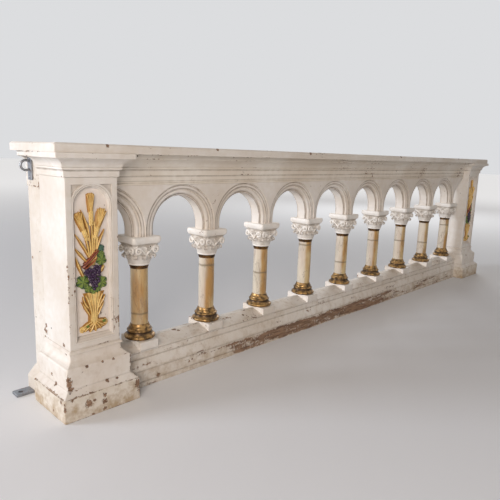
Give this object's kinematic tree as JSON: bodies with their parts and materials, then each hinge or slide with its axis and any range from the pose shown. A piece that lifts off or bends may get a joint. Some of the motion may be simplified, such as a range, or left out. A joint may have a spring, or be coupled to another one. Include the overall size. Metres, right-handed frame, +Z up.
{
  "type": "altar rail",
  "caption": "Painted communion rail: a moulded top slab on carved end piers, with an open arcade of round arches on marbled columns over a moulded base rail.",
  "frame": {"origin": "floor level, at mid-length of the rail on the line of the column centres", "axes": "+X along the rail to the right as seen from the front, +Y from front to back, +Z up"},
  "size_m": [2.939, 0.303, 0.76],
  "materials": {
    "cream_paint": "old cream paint, worn through to the wood at the foot",
    "white_carving": "white painted carving",
    "marbled_paint": "glossy ochre marbled paint with gilded rings",
    "gilt_carving": "gold, green and purple paint on carved relief",
    "steel": "dull grey"
  },
  "bodies": {
    "root": {"top_slab": "cream_paint", "entablature": "cream_paint", "base_rail": "cream_paint", "column_blocks": "cream_paint", "arch_1": "cream_paint", "arch_2": "cream_paint", "arch_3": "cream_paint", "arch_4": "cream_paint", "arch_5": "cream_paint", "arch_6": "cream_paint", "arch_7": "cream_paint", "arch_8": "cream_paint", "arch_9": "cream_paint", "arch_10": "cream_paint", "left_plinth": "cream_paint", "right_plinth": "cream_paint", "left_pier_base": "cream_paint", "right_pier_base": "cream_paint", "left_pier": "cream_paint", "right_pier": "cream_paint", "left_crown": "cream_paint", "right_crown": "cream_paint", "back_post": "cream_paint", "capital_1": "white_carving", "capital_2": "white_carving", "capital_3": "white_carving", "capital_4": "white_carving", "capital_5": "white_carving", "capital_6": "white_carving", "capital_7": "white_carving", "capital_8": "white_carving", "capital_9": "white_carving", "column_1": "marbled_paint", "column_2": "marbled_paint", "column_3": "marbled_paint", "column_4": "marbled_paint", "column_5": "marbled_paint", "column_6": "marbled_paint", "column_7": "marbled_paint", "column_8": "marbled_paint", "column_9": "marbled_paint", "left_relief": "gilt_carving", "right_relief": "gilt_carving", "hook_bracket": "steel", "floor_lug": "steel"}
  },
  "joints": []
}
